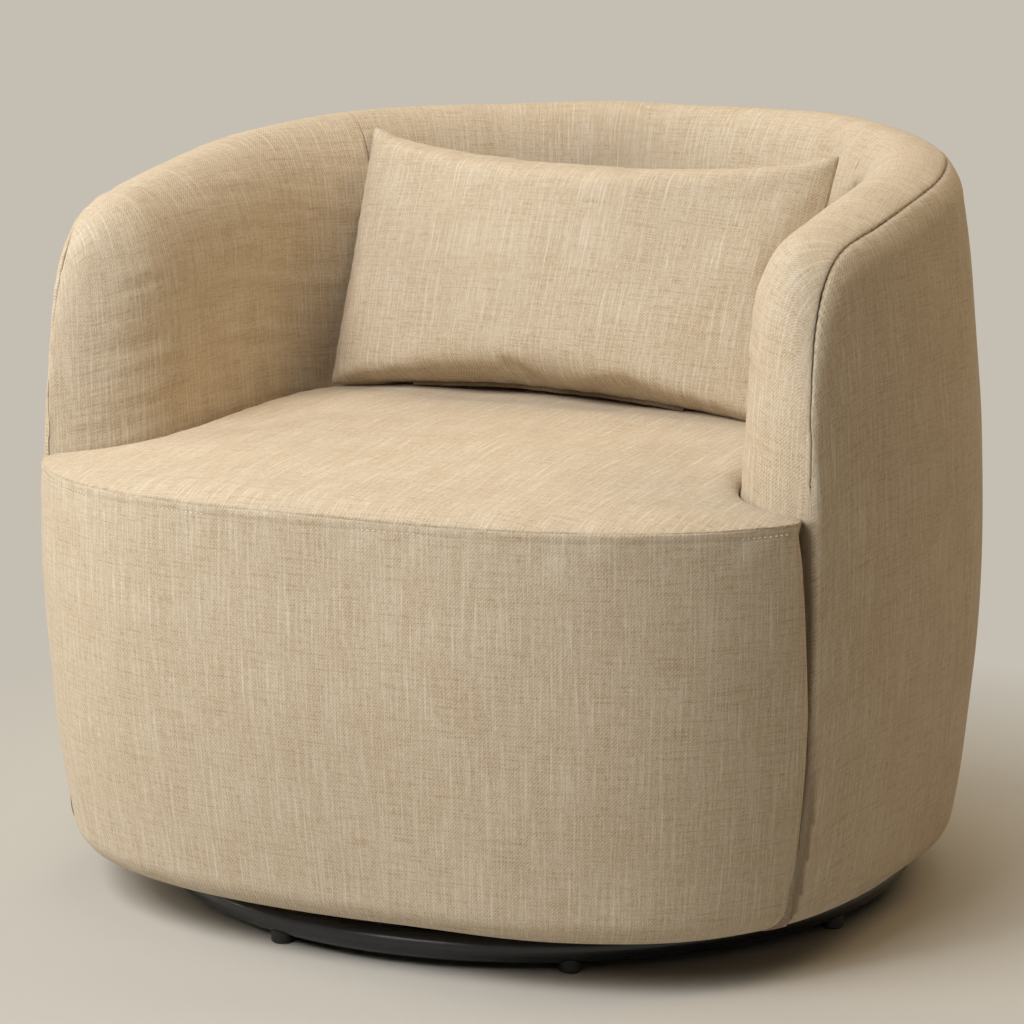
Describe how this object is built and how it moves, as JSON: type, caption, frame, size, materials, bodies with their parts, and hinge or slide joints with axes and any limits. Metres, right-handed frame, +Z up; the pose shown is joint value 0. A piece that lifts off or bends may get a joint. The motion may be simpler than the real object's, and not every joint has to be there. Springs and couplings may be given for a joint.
{
  "type": "swivel barrel chair",
  "caption": "upholstered swivel tub chair with a wrap-round barrel back, fixed crowned seat, loose lumbar pillow and a black ring base on a ball-bearing plate",
  "frame": {"origin": "on the floor, on the swivel axis under the middle of the chair", "axes": "+Z up along the swivel axis; +Y towards the back of the barrel, the seat opens towards -Y; +X to the right of someone standing in front of the chair"},
  "size_m": [0.84, 0.8298, 0.695],
  "materials": {
    "ring_black": "high-gloss black enamel on round steel tube",
    "plate_steel": "satin black enamel on pressed steel",
    "bright_steel": "bright zinc-plated or spring steel",
    "glide_plastic": "black moulded plastic, slightly worn under foot",
    "nylon": "natural nylon",
    "plywood": "bare birch plywood, unfinished",
    "fibreboard": "bare hardboard",
    "felt": "grey needled felt",
    "foam": "cut polyurethane foam",
    "wadding": "bonded polyester wadding",
    "oatmeal_weave": "slubby linen-look weave in oatmeal, matt",
    "black_cambric": "thin spun black cambric",
    "zip_tape": "woven zip tape in the cover colour"
  },
  "bodies": {
    "base": {"base_ring": "ring_black", "base_long_bar": "ring_black", "base_short_bars": "ring_black", "bearing_lower_plate": "plate_steel", "pivot_tube": "plate_steel", "lower_plate_bolts": "bright_steel", "floor_glides": "glide_plastic", "glide_screws": "bright_steel"},
    "bearing_cage": {"bearing_balls": "bright_steel", "ball_retainer": "nylon"},
    "seat": {"bearing_upper_plate": "plate_steel", "bearing_bolts": "bright_steel", "tee_nuts": "bright_steel", "seat_springs": "bright_steel", "dust_cover_staples": "bright_steel", "spring_clips": "nylon", "base_board": "plywood", "front_rail": "plywood", "right_rail": "plywood", "left_rail": "plywood", "back_rail": "plywood", "front_uprights": "plywood", "right_arm_upright": "plywood", "left_arm_upright": "plywood", "right_rear_upright": "plywood", "left_rear_upright": "plywood", "back_uprights": "plywood", "right_arm_rail": "plywood", "left_arm_rail": "plywood", "back_top_rail": "plywood", "corner_blocks": "plywood", "front_backing": "fibreboard", "barrel_backing": "fibreboard", "seat_felt": "felt", "seat_foam": "foam", "right_arm_foam": "foam", "left_arm_foam": "foam", "back_foam": "foam", "front_padding": "wadding", "right_padding": "wadding", "left_padding": "wadding", "back_padding": "wadding", "seat_top_cover": "oatmeal_weave", "seat_apron": "oatmeal_weave", "right_arm_cover": "oatmeal_weave", "left_arm_cover": "oatmeal_weave", "back_cover": "oatmeal_weave", "outer_cover": "oatmeal_weave", "dust_cover": "black_cambric"},
    "pillow": {"pillow_cover": "oatmeal_weave", "pillow_fill": "wadding", "pillow_zip": "zip_tape", "zip_slider": "bright_steel"}
  },
  "joints": [
    {"name": "seat_swivel", "type": "hinge", "parent": "base", "child": "seat", "pos_m": [0, 0, 0], "axis": [0, 0, 1], "continuous": true},
    {"name": "cage_roll", "type": "hinge", "parent": "base", "child": "bearing_cage", "pos_m": [0, 0, 0], "axis": [0, 0, 1], "continuous": true},
    {"name": "pillow_lift", "type": "slide", "parent": "seat", "child": "pillow", "axis": [0, -0.57, 0.8216], "range_m": [0, 0.45]}
  ],
  "couplings": [
    {"joint": "cage_roll", "follows": "seat_swivel", "ratio": 0.5}
  ]
}
